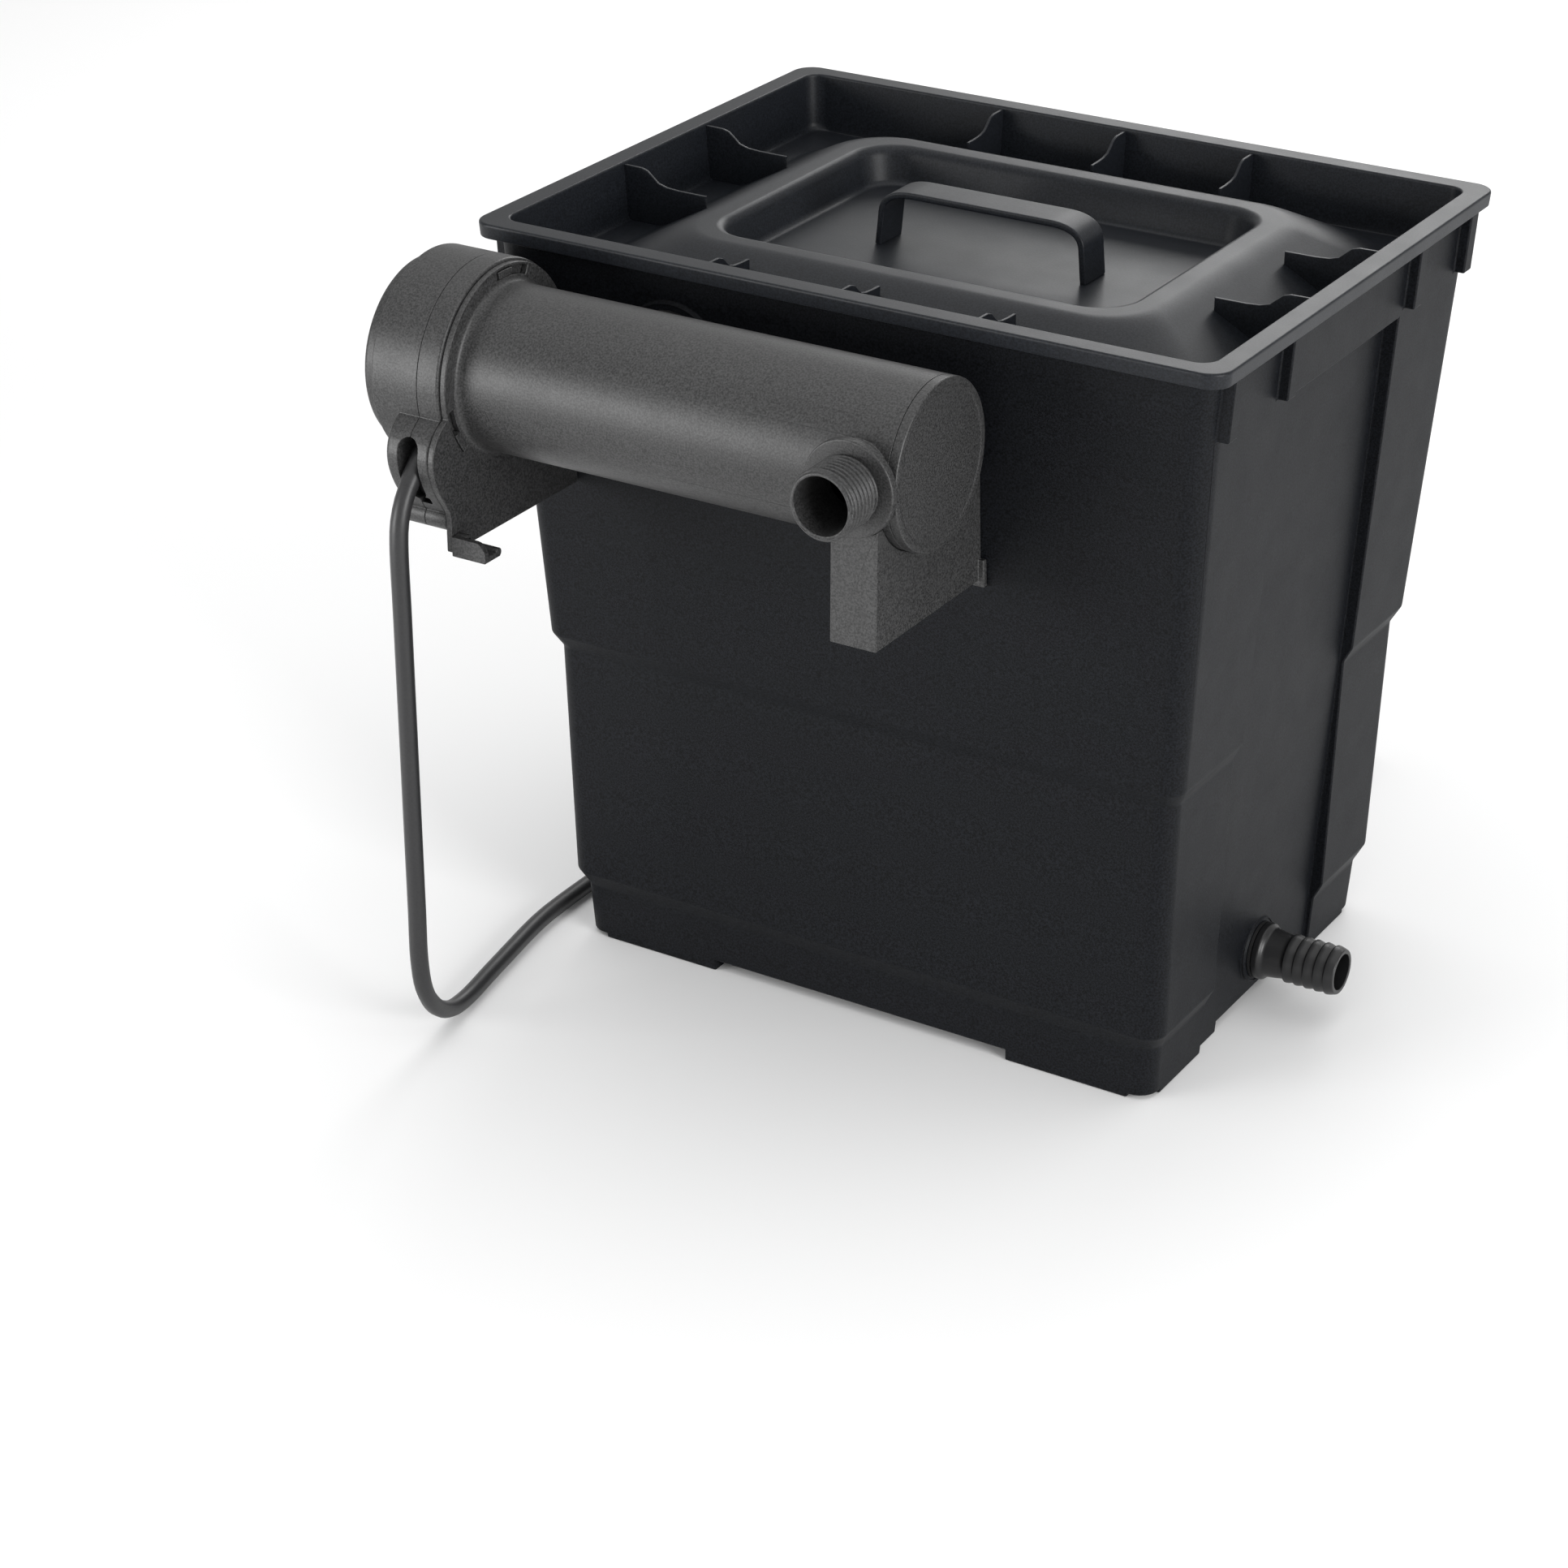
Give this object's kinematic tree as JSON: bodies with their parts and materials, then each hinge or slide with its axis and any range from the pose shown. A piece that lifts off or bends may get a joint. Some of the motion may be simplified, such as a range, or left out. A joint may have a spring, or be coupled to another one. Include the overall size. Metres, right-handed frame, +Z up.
{
  "type": "pond box filter with uv clarifier",
  "caption": "Box-type pond filter: tapered plastic tub with a lift-off lid, a UV clarifier across its front wall and a hose barb at its foot.",
  "frame": {"origin": "bottom centre of the filter without its mains lead, on the ground", "axes": "+X towards the hose barb, +Y from the UV clarifier to the back, +Z up"},
  "size_m": [0.413, 0.5612, 0.3973],
  "materials": {
    "tub_plastic": "fine moulded grain, satin",
    "lid_plastic": "fine moulded grain, satin",
    "housing_plastic": "fine texture, satin",
    "fitting_plastic": "smooth moulded",
    "seal_rubber": "smooth",
    "plug_rubber": "smooth",
    "stainless": "plain",
    "quartz": "clear",
    "socket_ceramic": "unglazed",
    "potting": "cast",
    "blue_foam": "open-cell foam",
    "grey_mat": "coarse open foam",
    "media_net": "net bag with grains",
    "lead_sheath": "satin sheath"
  },
  "bodies": {
    "root": {"filter_box": "tub_plastic", "uvc_housing": "housing_plastic", "uvc_end_cap": "housing_plastic", "uvc_bracket": "housing_plastic", "bracket_screw_1": "stainless", "bracket_screw_2": "stainless", "uvc_outlet_seal": "seal_rubber", "uvc_outlet_lock_nut": "fitting_plastic", "inlet_elbow": "fitting_plastic", "quartz_sleeve": "quartz", "sleeve_o_ring": "seal_rubber", "sleeve_nut": "fitting_plastic", "head_o_ring": "seal_rubber", "latch_pin": "stainless", "outlet_hose_barb": "fitting_plastic", "outlet_seal": "seal_rubber", "outlet_lock_nut": "fitting_plastic", "support_grid": "fitting_plastic", "fine_mat": "blue_foam", "medium_mat": "blue_foam", "coarse_mat": "grey_mat", "media_bag": "media_net", "overflow_pipe": "fitting_plastic", "mains_cable": "lead_sheath", "cable_coil": "lead_sheath", "cable_tail": "lead_sheath", "mains_plug": "plug_rubber"},
    "lid": {"lid_tray": "lid_plastic", "lid_handle": "lid_plastic"},
    "lamp_head": {"head_ring": "housing_plastic", "head_cap": "housing_plastic", "head_screw": "stainless", "cable_grommet": "seal_rubber", "lamp_socket": "socket_ceramic", "uv_lamp": "quartz", "ballast": "potting", "safety_switch": "potting"},
    "latch": {"release_latch": "housing_plastic"}
  },
  "joints": [
    {"name": "lid_lift", "type": "slide", "parent": "root", "child": "lid", "axis": [0, 0, 1], "range_m": [0, 0.12]},
    {"name": "head_twist", "type": "hinge", "parent": "root", "child": "lamp_head", "pos_m": [-0.17115, -0.14075, 0.345], "axis": [1, 0, 0], "range_deg": [-15, 0], "deforming": ["mains_cable"]},
    {"name": "latch_press", "type": "hinge", "parent": "root", "child": "latch", "pos_m": [-0.1525, -0.18485, 0.2724], "axis": [1, 0, 0], "range_deg": [0, 12], "stiffness_Nm_per_rad": 0.05}
  ]
}
